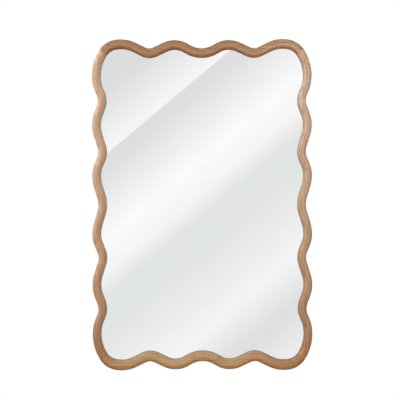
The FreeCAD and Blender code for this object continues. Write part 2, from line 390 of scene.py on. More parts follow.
# The angle at which a corner's arcs cross the mitre
def mitreCrossing(arcs):
    for centre, radius, first, last in arcs[1:]:
        aside = (blankCorner - centre).dot(Vector((mitreLine.y, -mitreLine.x)))
        crossing = wave["mitreAngle"] + math.asin(aside / radius)
        if crossing <= last:
            return crossing


# Points round a corner, with the mitre between two of them
def cornerPoints(railInset, stileInset):
    arcs = cornerArcs(railInset, stileInset)
    crossing, outerCrossing = mitreCrossing(arcs), mitreCrossing(cornerArcs(0, 0))
    before = math.ceil(outerCrossing / wave["cornerTurn"])
    after = math.ceil((math.pi / 2 - outerCrossing) / wave["cornerTurn"])
    angles = [crossing * k / before for k in range(before)]
    angles += [crossing + (math.pi / 2 - crossing) * k / after for k in range(1, after)]
    points = []
    for angle in angles:
        centre, radius = next(arc[:2] for arc in arcs if angle <= arc[3])
        points.append((centre.x + radius * math.sin(angle), centre.y + radius * math.cos(angle)))
    return points


# A quarter of the outline from the middle of a rail to the middle of a stile, moved in by the insets
def quarterPoints(railInset, stileInset):
    quarter = []
    for start, end, radii in zip(railPoints, railPoints[1:], wave["railRadii"]):
        quarter += bendPoints(start, end, radii, railInset)
    quarter += cornerPoints(railInset, stileInset)
    side = []
    for start, end, radii in zip(stilePoints, stilePoints[1:], wave["stileRadii"]):
        side += bendPoints(start, end, radii, stileInset)
    side.append((stilePoints[-1][0], stilePoints[-1][1] - stileInset))
    return quarter + [(out, along) for along, out in reversed(side)]


# The whole outline clockwise from the middle of the top, as (x, z)
def outlinePoints(topInset, bottomInset, stileInset):
    upper = quarterPoints(topInset, stileInset)
    lower = [(x, -z) for x, z in quarterPoints(bottomInset, stileInset)]
    half = upper + lower[-2::-1]
    return half + [(-x, z) for x, z in half[-2:0:-1]]


# The frame's inner edge, moved outwards by the growth
def innerPoints(growth):
    return outlinePoints(*(wave[width] - growth for width in ("topWidth", "bottomWidth", "stileWidth")))


corners = {"top_left": (-1, 1), "top_right": (1, 1), "bottom_left": (-1, -1), "bottom_right": (1, -1)}


# A point on a corner's mitre line, moved in from the outer edge
def mitrePoint(corner, inset, y):
    xSign, zSign = corners[corner]
    arcs = cornerArcs(0, 0)
    crossing = mitreCrossing(arcs)
    centre, radius = arcs[1][:2]
    outer = centre + radius * Vector((math.sin(crossing), math.cos(crossing)))
    spot = outer - inset * mitreLine
    return Vector((xSign * spot.x, y, zSign * spot.y))


# The way across a corner's mitre, from the rail to the stile
def mitreWay(corner):
    xSign, zSign = corners[corner]
    return Vector((xSign * mitreLine.y, 0, -zSign * mitreLine.x))


# Oak: growth rings round a heart line, broad streaks, pores and fibres, all along the plank's X

oakGrain = {
    "wander": 0.008, "wanderNoise": {"stretch": (5, 16, 16), "detail": 1.0},
    "ringScale": 52.0, "ringStretch": (0.05, 1, 1), "ringShown": (0.45, 0.95),
    "ringNoise": {"Distortion": 1.6, "Detail": 2.0, "Detail Scale": 0.8, "Detail Roughness": 0.6},
    "streak": {"stretch": (11, 170, 170), "shown": (0.36, 0.64), "detail": 3.0, "roughness": 0.55},
    "drift": {"stretch": (5, 40, 40), "shown": (0.35, 0.65), "detail": 1.0},
    "fibreStretch": (35, 1300, 1300), "fibreShown": (0.3, 0.7), "fibreHeight": 0.5,
    "pore": {"stretch": (150, 1900, 1900), "shown": (0.6, 0.72), "detail": 1.0},
    "earlyWood": (0.75, 0.2), "latePores": 0.25,    # most pores lie in the early wood of a ring
}


def makeOakFigure():
    group, given, made = newGroup(
        "oakFigure", {"Ring Scale": oakGrain["ringScale"], "Wander": oakGrain["wander"]},
        ["Ring", "Streak", "Drift", "Fibre", "Pore", "Height"])
    plank = given["Vector"]
    slow = addNoise(group, plank, **oakGrain["wanderNoise"], output="Color")
    centred = addVectorMath(group, "SUBTRACT", slow, (0.5, 0.5, 0.5))
    shift = addVectorMath(group, "SCALE", centred, given["Wander"])
    wandered = addVectorMath(group, "ADD", plank, shift)
    drawnOut = addMapping(group, wandered, scale=oakGrain["ringStretch"])
    rings = addNode(group, "TexWave",
                    {"Vector": drawnOut, "Scale": given["Ring Scale"], **oakGrain["ringNoise"]},
                    wave_type="RINGS", rings_direction="X", wave_profile="SAW").outputs["Fac"]
    fibre = addNoise(group, wandered, oakGrain["fibreStretch"])
    porous = addMath(group, "ADD", addRange(group, rings, *oakGrain["earlyWood"]), oakGrain["latePores"])
    pore = addMath(group, "MULTIPLY", addPatches(group, plank, **oakGrain["pore"]), porous, True)
    height = addMath(group, "SUBTRACT", addMath(group, "MULTIPLY", fibre, oakGrain["fibreHeight"]), pore)
    return putOut(group, made, Ring=addRange(group, rings, *oakGrain["ringShown"]),
                  Streak=addPatches(group, wandered, **oakGrain["streak"]),
                  Drift=addPatches(group, plank, **oakGrain["drift"]),
                  Fibre=addRange(group, fibre, *oakGrain["fibreShown"]), Pore=pore, Height=height)


oakFigure = makeOakFigure()

oak = {
    "roughness": (0.42, 0.55), "bump": (0.5, 0.0001), "halfLength": 0.5,
    "tints": {                           # tint and share of each part of the figure
        "Ring": ((0.75, 0.66, 0.57), 0.8), "Streak": ((1.24, 1.35, 1.46), 0.95),
        "Drift": ((1.02, 0.93, 0.86), 0.8), "Fibre": ((0.93, 0.91, 0.89), 1.0),
        "Pore": ((0.55, 0.46, 0.40), 0.6),
    },
}

alongX = {"axis": "X", "turn": (0, 0, 0)}
alongZ = {"axis": "Z", "turn": (0, math.pi / 2, 0)}

# Each plank: grain, heart line, tones along it in metres, and tints from its outer to its inner edge,
# which are painted shade and painted sheen
oakPlanks = {
    "top_rail": {
        "grain": alongX, "heart": (0.0, 0.09, -0.50),
        "tones": [(-0.25, (0.352, 0.18, 0.078)), (0.05, (0.353, 0.184, 0.082)),
                  (0.25, (0.45, 0.282, 0.17))],
        "tints": [(0.2, (0.72, 0.63, 0.52)), (0.38, (0.82, 0.75, 0.66)), (0.5, (0.81, 0.78, 0.76)),
                  (0.66, (1.14, 1.2, 1.26)), (0.8, (1.24, 0.97, 0.7)), (0.92, (1.05, 0.75, 0.43))],
    },
    "bottom_rail": {
        "grain": alongX, "heart": (0.3, 0.11, 0.52),
        "tones": [(-0.25, (0.42, 0.22, 0.09)), (-0.15, (0.46, 0.283, 0.125)),
                  (0.13, (0.445, 0.256, 0.109)), (0.25, (0.388, 0.185, 0.063))],
        "tints": [(0.1, (0.84, 0.59, 0.35)), (0.27, (1.04, 0.82, 0.51)), (0.56, (1.12, 1.14, 1.17)),
                  (0.77, (0.82, 0.79, 0.78)), (0.92, (0.85, 1.02, 1.2))],
    },
    # The stiles' tones are paler than the rails', partly a painted sheen, and darker towards the bottom
    "left_stile": {
        "grain": alongZ, "heart": (0.0, 0.10, -0.36),
        "tones": [(-0.42, (0.36, 0.165, 0.068)), (-0.33, (0.41, 0.212, 0.107)),
                  (-0.10, (0.478, 0.275, 0.152)), (0.15, (0.491, 0.311, 0.194)),
                  (0.38, (0.475, 0.305, 0.185))],
        "tints": [(0.12, (1.14, 1.21, 1.31)), (0.48, (0.98, 0.96, 0.95)), (0.63, (1.02, 0.98, 0.98)),
                  (0.78, (0.96, 0.93, 0.9)), (0.94, (1.12, 1.28, 1.28))],
    },
    "right_stile": {
        "grain": alongZ, "heart": (0.2, 0.08, 0.25),
        "tones": [(-0.42, (0.389, 0.185, 0.076)), (-0.33, (0.398, 0.211, 0.1)),
                  (-0.10, (0.44, 0.251, 0.141)), (0.12, (0.493, 0.311, 0.207)),
                  (0.33, (0.505, 0.345, 0.245)), (0.42, (0.475, 0.31, 0.2))],
        "tints": [(0.25, (1.13, 1.12, 1.08)), (0.4, (1.06, 1.05, 1.05)), (0.6, (0.94, 0.92, 0.92)),
                  (0.75, (1.0, 1.08, 1.08))],
    },
}


def makeOak(name, plank):
    material, tree, shader, place = newMaterial(name, IOR=1.5)
    spots = addNode(tree, "SeparateXYZ", {0: place}).outputs
    half = oak["halfLength"]
    along = addRange(tree, spots[plank["grain"]["axis"]], -half, half)
    wood = addRamp(tree, along, [((spot + half) / (2 * half), tone) for spot, tone in plank["tones"]])
    grain = addMapping(tree, place, plank["heart"], plank["grain"]["turn"])
    figure = addNode(tree, "Group", {"Vector": grain}, node_tree=oakFigure).outputs
    for part, (tint, share) in oak["tints"].items():
        wood = addMix(tree, addMath(tree, "MULTIPLY", figure[part], share), wood, tint, "MULTIPLY")
    # Painted shade and painted sheen across the moulding: darker on the sides turned from the lamps, paler
    # where the lamps catch the edges
    across = addNode(tree, "Attribute", attribute_name="across").outputs["Fac"]
    wood = addMix(tree, 1.0, wood, addRamp(tree, across, plank["tints"]), "MULTIPLY")
    rough = addRange(tree, figure["Streak"], 0.0, 1.0, *oak["roughness"])
    feed(tree, shader, Base_Color=wood, Roughness=rough,
         Normal=addBump(tree, figure["Height"], *oak["bump"]))
    return material


# The four members: one ring along the outline, cut at the mitres

moulding = {
    "frontY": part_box("top_rail")[0].y, "backY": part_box("top_rail")[1].y,
    "lipY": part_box("mirror_glass")[0].y, "flangeY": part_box("backing_board")[0].y,
    "round": 0.011, "roundSteps": 10,    # front edges
    "lip": 0.008, "flange": 0.008,       # how far the rebate and the recess go under the inner edge
    "ease": 0.0008, "easeBend": 0.3, "lipEase": 0.0005,   # sanded back edge and lip edge
    "glassGap": 0.0001, "mitreEase": 0.00035,
}


# Profile of the moulding as (edge, inset from that edge, depth), from the outer back edge round to it
def mouldingProfile():
    m = moulding
    bend = m["ease"] * m["easeBend"]
    profile = [("outer", m["ease"], m["backY"]), ("outer", bend, m["backY"] - bend),
               ("outer", 0, m["backY"] - m["ease"])]
    turns = [math.pi / 2 * k / m["roundSteps"] for k in range(m["roundSteps"] + 1)]
    front = [(m["round"] * (1 - math.cos(turn)), m["frontY"] + m["round"] * (1 - math.sin(turn)))
             for turn in turns]
    profile += [("outer", inset, y) for inset, y in front]
    profile += [("inner", inset, y) for inset, y in reversed(front)]
    lipY = m["lipY"] - m["glassGap"]
    recess = m["lip"] + m["flange"]
    profile += [("inner", 0, lipY - m["lipEase"]), ("inner", m["lipEase"], lipY),
                ("inner", m["lip"], lipY), ("inner", m["lip"], m["flangeY"]),
                ("inner", recess, m["flangeY"]), ("inner", recess, m["backY"])]
    return profile + profile[:1]


def mouldingLoop(edge, shift):
    return outlinePoints(shift, shift, shift) if edge == "outer" else innerPoints(shift)


# How far across the moulding a loop lies, from 0 at the outer edge to 1 at the inner edge
def acrossShare(edge, shift):
    width = (wave["topWidth"] + wave["bottomWidth"] + 2 * wave["stileWidth"]) / 4
    return shift / width if edge == "outer" else 1 - shift / width


def modelMouldingRing():
    count = len(innerPoints(0))
    ring = newCircle("mouldingRing", count, wave["halfWidth"])
    ring.data.attributes.new("station", "INT", "POINT").data.foreach_set("value", list(range(count)))
    ring.data.attributes.new("across", "FLOAT", "POINT")
    startEdit(ring)
    for number, (edge, shift, y) in enumerate(mouldingProfile()):
        if number:
            extrudeBy(0, 0, 0)
        loop = mouldingLoop(edge, shift)
        mesh = bmesh.from_edit_mesh(ring.data)
        station, across = mesh.verts.layers.int["station"], mesh.verts.layers.float["across"]
        for vert in mesh.verts:
            if vert.select:
                x, z = loop[vert[station]]
                vert.co = (x, y, z)
                vert[across] = acrossShare(edge, shift)
        bmesh.update_edit_mesh(ring.data)
    faceOut()
    endEdit()
    return ring


# Cuts a member out of the ring between two mitres, and eases the edges of its ends
def modelMember(ring, name, ends, towards):
    member = duplicateOf(ring, name)
    startEdit(member)
    for corner in ends:
        selectAll()
        bpy.ops.mesh.bisect(plane_co=mitrePoint(corner, 0, 0), plane_no=mitreWay(corner) * towards,
                            use_fill=True, clear_outer=True)
    mesh = bmesh.from_edit_mesh(member.data)

    def isEnd(face):
        middle = face.calc_center_median()
        return any(abs(face.normal.dot(mitreWay(corner))) > 0.999
                   and abs((middle - mitrePoint(corner, 0, 0)).dot(mitreWay(corner))) < 1e-5
                   for corner in ends)

    endFaces = {face for face in mesh.faces if isEnd(face)}
    selectEdges(mesh, lambda edge: len(endFaces.intersection(edge.link_faces)) == 1)
    bpy.ops.mesh.bevel(offset=moulding["mitreEase"], segments=1, affect="EDGES")
    faceOut()
    endEdit()
    member.data.attributes.remove(member.data.attributes["station"])
    smoothByAngle(member, 40)
    return member


# Each member: its node, the corners at its ends, and the side of their mitres that it lies on
members = {
    "topRail": ("top_rail", ("top_left", "top_right"), 1),
    "bottomRail": ("bottom_rail", ("bottom_left", "bottom_right"), 1),
    "leftStile": ("left_stile", ("bottom_left", "top_left"), -1),
    "rightStile": ("right_stile", ("bottom_right", "top_right"), -1),
}
mouldingRing = modelMouldingRing()
for name, (node, ends, towards) in members.items():
    member = modelMember(mouldingRing, name, ends, towards)
    finishPiece(member, makeOak(name + "Oak", oakPlanks[node]), "mirror", node)
    print("member", name, len(member.data.polygons), "faces")
bpy.data.objects.remove(mouldingRing)


# Pane with arrised edges, on its silver coat

pane = {
    "frontY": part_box("mirror_glass")[0].y, "backY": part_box("mirror_glass")[1].y,
    "clearance": 0.001, "arris": 0.0006,
    "bond": 0.00005,                     # the coat is deposited into the back face, with no air between
    "glassTints": ((0.985, 0.995, 0.99), (0.995, 1, 0.997)), "glassCloud": {"stretch": (9, 9, 9)},
    "silverTints": ((0.95, 0.955, 0.95), (0.965, 0.968, 0.965)), "silverRoughness": (0.0, 0.012),
    "silverCloud": {"stretch": (14, 14, 14), "detail": 3.0}, "silverShown": (0.3, 0.8),
}


def modelPane():
    loop = innerPoints(moulding["lip"] - pane["clearance"])
    glass = newCircle("mirrorPane", len(loop), wave["halfWidth"], "NGON")
    for vert, (x, z) in zip(glass.data.vertices, loop):
        vert.co = (x, pane["frontY"], z)
    mesh = startEdit(glass)
    extrudeBy(0, pane["backY"] + pane["bond"] - pane["frontY"], 0)
    faceOut()
    selectEdges(mesh, lambda edge: len({round(vert.co.y, 5) for vert in edge.verts}) == 1)
    bpy.ops.mesh.bevel(offset=pane["arris"], segments=1, affect="EDGES")
    endEdit()
    return glass


def makeGlass():
    material, tree, shader, place = newMaterial(
        "floatGlass", Transmission_Weight=1.0, IOR=1.52, Roughness=0.0)
    cloud = addNoise(tree, place, **pane["glassCloud"])
    feed(tree, shader, Base_Color=addTints(tree, cloud, pane["glassTints"]))
    return material


def makeSilver():
    material, tree, shader, place = newMaterial("silverCoat", Metallic=1.0)
    cloud = addNoise(tree, place, **pane["silverCloud"])
    feed(tree, shader, Base_Color=addTints(tree, cloud, pane["silverTints"]),
         Roughness=addRange(tree, cloud, *pane["silverShown"], *pane["silverRoughness"]))
    return material


finishPiece(modelPane(), makeGlass(), "mirror", "mirror_glass")
setFinish(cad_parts["silver_coat"], makeSilver())    # the coat keeps its CAD shape
print("pane and coat ready")


# Hardware on the back, modelled with X across, Y up and Z out of the back

backOut = Vector((0, 1, 0))
upright = Vector((0, 0, 1))
sideways = Vector((1, 0, 0))
hangers = {"left": upright, "right": upright, "top": sideways, "bottom": sideways}


def setOnBack(piece, seat, up, lean=0.0):
    turn = Matrix((up.cross(backOut), up, backOut)).transposed().to_4x4()
    piece.matrix_world = Matrix.Translation(seat) @ turn @ Matrix.Rotation(lean, 4, "X")
    applyPlace(piece)


# Turned on a lathe: rings of (radius, height), where a radius may be a formula of the angle
def modelTurned(name, sides, rings):
    piece = newCircle(name, sides, 1)
    startEdit(piece)
    for number, (radius, height) in enumerate(rings):
        if number:
            extrudeBy(0, 0, 0)
        mesh = bmesh.from_edit_mesh(piece.data)
        for vert in mesh.verts:
            if vert.select:
                angle = math.atan2(vert.co.y, vert.co.x)
                reach = radius(angle) if callable(radius) else radius
                vert.co = (reach * math.cos(angle), reach * math.sin(angle), height)
        bmesh.update_edit_mesh(piece.data)
    closeEnds()
    endEdit()
    return piece


# Metal of the screws and hangers: fine scratches, handling smudges and plating speckle

wearMarks = {
    "scratch": {"stretch": (900, 5200, 5200), "shown": (0.56, 0.68)},
    "smudge": {"stretch": (180, 180, 180), "shown": (0.35, 0.65), "detail": 3.0, "roughness": 0.6},
    "speckleScale": 2400.0, "speckleHeight": 0.4, "bump": (0.35, 0.00004),
}


def makeMetalWear():
    group, given, made = newGroup(
        "metalWear", {"Speckle Scale": wearMarks["speckleScale"]}, ["Scratch", "Smudge", "Height"])
    place = given["Vector"]
    scratch = addPatches(group, place, **wearMarks["scratch"])
    smudge = addPatches(group, place, **wearMarks["smudge"])
    speckle = addNoise(group, addVectorMath(group, "SCALE", place, given["Speckle Scale"]), (1, 1, 1))
    grit = addMath(group, "MULTIPLY", speckle, wearMarks["speckleHeight"])
    height = addMath(group, "SUBTRACT", grit, scratch)
    return putOut(group, made, Scratch=scratch, Smudge=smudge, Height=height)


metalWear = makeMetalWear()

metals = {
    "nickelSteel": {"clean": (0.60, 0.57, 0.52), "handled": (0.47, 0.44, 0.40),
                    "roughness": (0.22, 0.40), "speckle": 2400.0},
    "zincSteel": {"clean": (0.63, 0.62, 0.58), "handled": (0.50, 0.47, 0.40),
                  "roughness": (0.30, 0.52), "speckle": 3600.0},
}


def makeMetal(name):
    metal = metals[name]
    material, tree, shader, place = newMaterial(name, Metallic=1.0)
    wear = addNode(tree, "Group", {"Vector": place, "Speckle Scale": metal["speckle"]},
                   node_tree=metalWear).outputs
    worn = addMath(tree, "MAXIMUM", wear["Smudge"], wear["Scratch"])
    feed(tree, shader, Base_Color=addMix(tree, wear["Smudge"], metal["clean"], metal["handled"]),
         Roughness=addRange(tree, worn, 0.0, 1.0, *metal["roughness"]),
         Normal=addBump(tree, wear["Height"], *wearMarks["bump"]))
    return material


# Strap hangers: sheet folded round the ring's bar, two layers thick below the eye

strap = {
    "thickness": 0.0009, "width": 0.011, "length": 0.030, "step": 0.003,
    "eyeRadius": 0.0018, "eyeHeight": 0.00225, "neckRadius": 0.0008,   # along the middle of the sheet
    "holes": (-0.0075, -0.022), "holeRadius": 0.0018,
    "endRound": 0.004, "edge": 0.00012, "layerGap": 0.00003,
    "neckSteps": 8, "eyeSteps": 28, "endSteps": 8, "holeSides": 32,
}


def modelStrap():
    upperZ = 1.5 * strap["thickness"]    # the middle of the upper layer
    neckZ = upperZ + strap["neckRadius"]
    reach = strap["eyeRadius"] + strap["neckRadius"]
    neckY = -math.sqrt(reach ** 2 - (strap["eyeHeight"] - neckZ) ** 2)
    neckTurn = math.pi / 2 + math.asin((strap["eyeHeight"] - neckZ) / reach)
    startY = strap["step"] - strap["length"]
    section = (strap["width"], strap["thickness"] - strap["layerGap"])
    sheet = newPlane("hangerStrap", section, (0, startY, upperZ), (math.pi / 2, 0, 0))
    startEdit(sheet)
    bpy.ops.mesh.delete(type="ONLY_FACE")
    selectAll()
    extrudeBy(0, neckY - startY, 0)
    spinBy(strap["neckSteps"], neckTurn, (0, neckY, neckZ), (1, 0, 0))
    spinBy(strap["eyeSteps"], -math.pi - neckTurn, (0, 0, strap["eyeHeight"]), (1, 0, 0))
    extrudeBy(0, -strap["length"], 0)
    closeEnds()
    mesh = bmesh.from_edit_mesh(sheet.data)

    def isEndCorner(edge):
        first, last = (vert.co for vert in edge.verts)
        standing = abs(first.z - last.z) > strap["thickness"] / 2
        return standing and any(max(abs(first.y - end), abs(last.y - end)) < 1e-6
                                for end in (startY, -strap["length"]))

    selectEdges(mesh, isEndCorner)
    bpy.ops.mesh.bevel(offset=strap["endRound"], segments=strap["endSteps"], affect="EDGES")
    endEdit()
    for hole in strap["holes"]:
        bpy.ops.mesh.primitive_cylinder_add(vertices=strap["holeSides"], radius=strap["holeRadius"],
                                            depth=strap["length"], location=(0, hole, 0))
        cutAway(sheet, bpy.context.object)
    applyModifier(sheet, "BEVEL", width=strap["edge"], segments=2, limit_method="ANGLE",
                  angle_limit=math.radians(50))
    smoothByAngle(sheet, 35)
    return sheet


# D-rings: round wire bent into a straight bar, two arms and a half-round bow

dRing = {
    "wire": 0.00125, "half": 0.00925, "arm": 0.005, "bend": 0.002, "restGap": 0.00025,
    "sides": 20, "bendSteps": 7, "bowSteps": 32,
}
restHeight = strap["eyeHeight"] - dRing["wire"] - dRing["restGap"]
ringLean = math.asin(restHeight / (dRing["arm"] + dRing["half"]))


def modelRing():
    bar = dRing["half"] - dRing["bend"]
    arm = dRing["arm"] - dRing["bend"]
    wire = newCircle("dRing", dRing["sides"], dRing["wire"])
    wire.rotation_euler = (0, math.pi / 2, 0)
    applyPlace(wire)
    startEdit(wire)
    extrudeBy(bar, 0, 0)
    spinBy(dRing["bendSteps"], math.pi / 2, (bar, dRing["bend"], 0), (0, 0, 1))
    extrudeBy(0, arm, 0)
    spinBy(dRing["bowSteps"], math.pi, (0, dRing["arm"], 0), (0, 0, 1))
    extrudeBy(0, -arm, 0)
    spinBy(dRing["bendSteps"], math.pi / 2, (-bar, dRing["bend"], 0), (0, 0, 1))
    extrudeBy(bar, 0, 0)
    faceOut()
    endEdit()
    smoothByAngle(wire, 60)
    return wire


# The seat of a hanger, under its eye and on the frame's back
def hangerSeat(side, up):
    low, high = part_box(side + "_hanger_strap")
    seat = (low + high) / 2
    seat.y = low.y
    return seat + up * (low.dot(up) + strap["length"] - seat.dot(up))


nickelSteel = makeMetal("nickelSteel")
strapModel, ringModel = modelStrap(), modelRing()
hangerScrewSeats = []
for side, up in hangers.items():
    seat = hangerSeat(side, up)
    sheet = duplicateOf(strapModel, side + "HangerStrap")
    setOnBack(sheet, seat, up)
    finishPiece(sheet, nickelSteel, "mirror", side + "_hanger_strap")
    wire = duplicateOf(ringModel, side + "DRing")
    setOnBack(wire, seat + backOut * strap["eyeHeight"], up, -ringLean)
    finishPiece(wire, nickelSteel, side + "_ring", side + "_d_ring")
    hangerScrewSeats += [seat + up * hole + backOut * (2 * strap["thickness"]) for hole in strap["holes"]]
bpy.data.objects.remove(strapModel)
bpy.data.objects.remove(ringModel)
print("hangers ready:", len(hangers))


# Wood screws: threaded shank with a point, and a cross recess in a pan head or a countersunk head

screw = {
    "radius": 0.00174, "core": 0.0012, "pitch": 0.0014, "tip": 0.0001, "pointLength": 0.003,
    "plain": (0.0015, 0.0025),           # radius and length of the neck under the head
    "plainEnds": (1 / 6, 1 / 20),        # shares of it that run out to the thread and to the head
    "sides": 20, "ringsPerTurn": 6,
    "recessLength": 0.0034, "recessWidth": 0.0008, "recessDepth": 0.0011, "recessTaper": 0.5,
    "hanger": {"length": 0.016, "neck": 0.0, "top": 0.0019,
               "head": [(0.0031, 0.0), (0.00325, 0.0001), (0.00325, 0.0012), (0.0031, 0.0016),
                        (0.0028, 0.00182), (0.0024, 0.0019)]},
    "board": {"length": 0.014, "neck": -0.002, "top": 0.0,
              "head": [(0.00175, -0.00195), (0.0034, -0.0001), (0.0034, 0.0)]},
}


# Radius of the thread at an angle and a height below the head
def threadRadius(angle, height, length):
    share = min(1.0, (height + length) / screw["pointLength"])
    ridge = 1 - abs((height / screw["pitch"] - angle / math.tau) % 1 - 0.5) * 2
    tooth = max(0.0, 2 * ridge - 1)
    return max(screw["tip"], share * (screw["core"] + (screw["radius"] - screw["core"]) * tooth))


def screwRings(kind):
    length = kind["length"]
    plainRadius, plainLength = screw["plain"]
    lowEnd, highEnd = (plainLength * share for share in screw["plainEnds"])
    threaded = length + kind["neck"] - plainLength
    count = math.ceil(threaded / screw["pitch"] * screw["ringsPerTurn"])
    heights = [threaded * k / count - length for k in range(count + 1)]

    def threadAt(height):
        return lambda angle: threadRadius(angle, height, length)

    rings = [(threadAt(height), height) for height in heights]
    rings += [(plainRadius, heights[-1] + lowEnd), (plainRadius, kind["neck"] - highEnd)]
    return rings + kind["head"]


def cutRecess(piece, top):
    length, width, depth = screw["recessLength"], screw["recessWidth"], screw["recessDepth"]
    for size, taper in (((length, width), (screw["recessTaper"], 1, 1)),
                        ((width, length), (1, screw["recessTaper"], 1))):
        blade = newCube("recessBlade", (*size, 2 * depth), (0, 0, top))
        mesh = startEdit(blade)
        selectParts(mesh, "FACE", mesh.faces, lambda face: face.normal.z < -0.9)
        bpy.ops.transform.resize(value=taper, center_override=(0, 0, top))
        endEdit()
        cutAway(piece, blade)


def makeScrews(name, kind, seats, node):
    model = modelTurned(name, screw["sides"], screwRings(kind))
    cutRecess(model, kind["top"])
    smoothByAngle(model, 35)
    copies = [duplicateOf(model, name) for seat in seats]
    for copy, seat in zip(copies, seats):
        setOnBack(copy, seat, upright)
    bpy.data.objects.remove(model)
    finishPiece(joined(copies, name), zincSteel, "mirror", node)
    print(name, "ready:", len(seats))


# The board's screws sit over the middle of the flange at every trough of the waves
def boardScrewSeats():
    under = moulding["lip"] + moulding["flange"] / 2
    seats = set()
    for xSign in (-1, 1):
        for zSign, width in ((1, wave["topWidth"]), (-1, wave["bottomWidth"])):
            seats |= {(xSign * along, zSign * (out - width + under)) for along, out in railPoints[::2]}
            seats |= {(xSign * (out - wave["stileWidth"] + under), zSign * along)
                      for along, out in stilePoints[:-1:2]}
    return [Vector((x, moulding["backY"], z)) for x, z in sorted(seats)]


zincSteel = makeMetal("zincSteel")
makeScrews("hangerScrews", screw["hanger"], hangerScrewSeats, "hanger_screws")
makeScrews("boardScrews", screw["board"], boardScrewSeats(), "board_screws")


# Rubber bumpers with a rounded rim and a dimple

bumper = {
    "radius": 0.006, "height": 0.006, "sides": 40, "foot": 0.0003, "draft": 0.00025,
    "edge": 0.0012, "edgeSteps": 5, "dimple": 0.0023, "dimpleDepth": 0.0006, "dimpleFloor": (0.8, 0.2),
    "black": (0.018, 0.018, 0.019), "dust": (0.06, 0.058, 0.055), "roughness": (0.55, 0.85),
    "dustPatches": {"stretch": (400, 400, 400), "shown": (0.45, 0.7), "detail": 4.0, "roughness": 0.65},
    "grainStretch": (3000, 3000, 3000), "bump": (0.3, 0.00005),
}


def bumperRings():
    rim = bumper["radius"] - bumper["draft"]
    rings = [(bumper["radius"] - bumper["foot"], 0), (bumper["radius"], bumper["foot"])]
    for k in range(bumper["edgeSteps"] + 1):
        turn = math.pi / 2 * k / bumper["edgeSteps"]
        rings.append((rim - bumper["edge"] * (1 - math.cos(turn)),
                      bumper["height"] - bumper["edge"] * (1 - math.sin(turn))))
    floor = bumper["height"] - bumper["dimpleDepth"]
    rings.append((bumper["dimple"], bumper["height"]))
    return rings + [(bumper["dimple"] * share, floor) for share in bumper["dimpleFloor"]]


def makeRubber():
    material, tree, shader, place = newMaterial("bumperRubber", Specular_IOR_Level=0.35)
    dust = addPatches(tree, place, **bumper["dustPatches"])
    feed(tree, shader, Base_Color=addMix(tree, dust, bumper["black"], bumper["dust"]),
         Roughness=addRange(tree, dust, 0.0, 1.0, *bumper["roughness"]),
         Normal=addBump(tree, addNoise(tree, place, bumper["grainStretch"]), *bumper["bump"]))
    return material


bumperRubber = makeRubber()
bumperModel = modelTurned("bumper", bumper["sides"], bumperRings())
smoothByAngle(bumperModel, 35)
for corner in corners:
    low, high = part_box("bumper_" + corner)
    pad = duplicateOf(bumperModel, "bumper_pad_" + corner)
    setOnBack(pad, Vector(((low.x + high.x) / 2, low.y, (low.z + high.z) / 2)), upright)
    finishPiece(pad, bumperRubber, "mirror", "bumper_" + corner)
bpy.data.objects.remove(bumperModel)
print("bumpers ready:", len(corners))


# Fluted beech dowels across the mitres

dowel = {
    "radius": 0.003, "length": 0.030, "chamfer": 0.0008,
    "flutes": 20, "sidesPerFlute": 4, "fluteDepth": 0.0003,
    "inset": 0.012, "depths": (0.0065, 0.0145),
    "pale": (0.60, 0.41, 0.25), "fleck": (0.40, 0.23, 0.12), "roughness": (0.55, 0.7),
    "fleckPatches": {"stretch": (900, 2600, 900), "shown": (0.55, 0.68)}, "bump": (0.3, 0.00005),
}


def dowelRings():
    def fluted(angle):
        return dowel["radius"] - dowel["fluteDepth"] * (1 - math.cos(dowel["flutes"] * angle)) / 2

    def chamfered(angle):
        return fluted(angle) - dowel["chamfer"]

    half, chamfer = dowel["length"] / 2, dowel["chamfer"]
    return [(chamfered, -half), (fluted, chamfer - half), (fluted, half - chamfer), (chamfered, half)]


def makeBeech():
    material, tree, shader, place = newMaterial("beechDowel")
    fleck = addPatches(tree, place, **dowel["fleckPatches"])
    feed(tree, shader, Base_Color=addMix(tree, fleck, dowel["pale"], dowel["fleck"]),
         Roughness=addRange(tree, fleck, 0.0, 1.0, *dowel["roughness"]),
         Normal=addBump(tree, fleck, *dowel["bump"]))
    return material


dowelModel = modelTurned("dowel", dowel["flutes"] * dowel["sidesPerFlute"], dowelRings())
smoothByAngle(dowelModel, 50)
dowels = []
for corner in corners:
    turn = mitreWay(corner).to_track_quat("Z", "Y").to_matrix().to_4x4()
    for depth in dowel["depths"]:
        peg = duplicateOf(dowelModel, "mitreDowels")
        middle = mitrePoint(corner, dowel["inset"], moulding["frontY"] + depth)
        peg.matrix_world = Matrix.Translation(middle) @ turn
        applyPlace(peg)
        dowels.append(peg)
bpy.data.objects.remove(dowelModel)
finishPiece(joined(dowels, "mitreDowels"), makeBeech(), "mirror", "mitre_dowels")
print("dowels ready:", len(dowels))


# Backing board and foam tape keep their CAD shape

backing = {
    "boardTints": ((0.27, 0.165, 0.09), (0.40, 0.265, 0.16)), "boardRoughness": (0.62, 0.82),
    "cloud": {"stretch": (22, 22, 22), "detail": 3.0}, "cloudShare": 0.2,
    "speck": {"stretch": (900, 900, 900), "detail": 3.0, "roughness": 0.7}, "speckShown": (0.3, 0.7),
    "boardBump": (0.4, 0.00008),
    "fibreTint": (0.50, 0.36, 0.23), "fibreShare": 0.6,
    "fibrePatches": {"stretch": (350, 350, 1400), "shown": (0.6, 0.72)},
    "foamTints": ((0.70, 0.70, 0.68), (0.84, 0.84, 0.81)), "foamCells": 1400.0,
    "foamShown": (0.1, 0.5), "foamBump": (0.6, 0.0002),
}


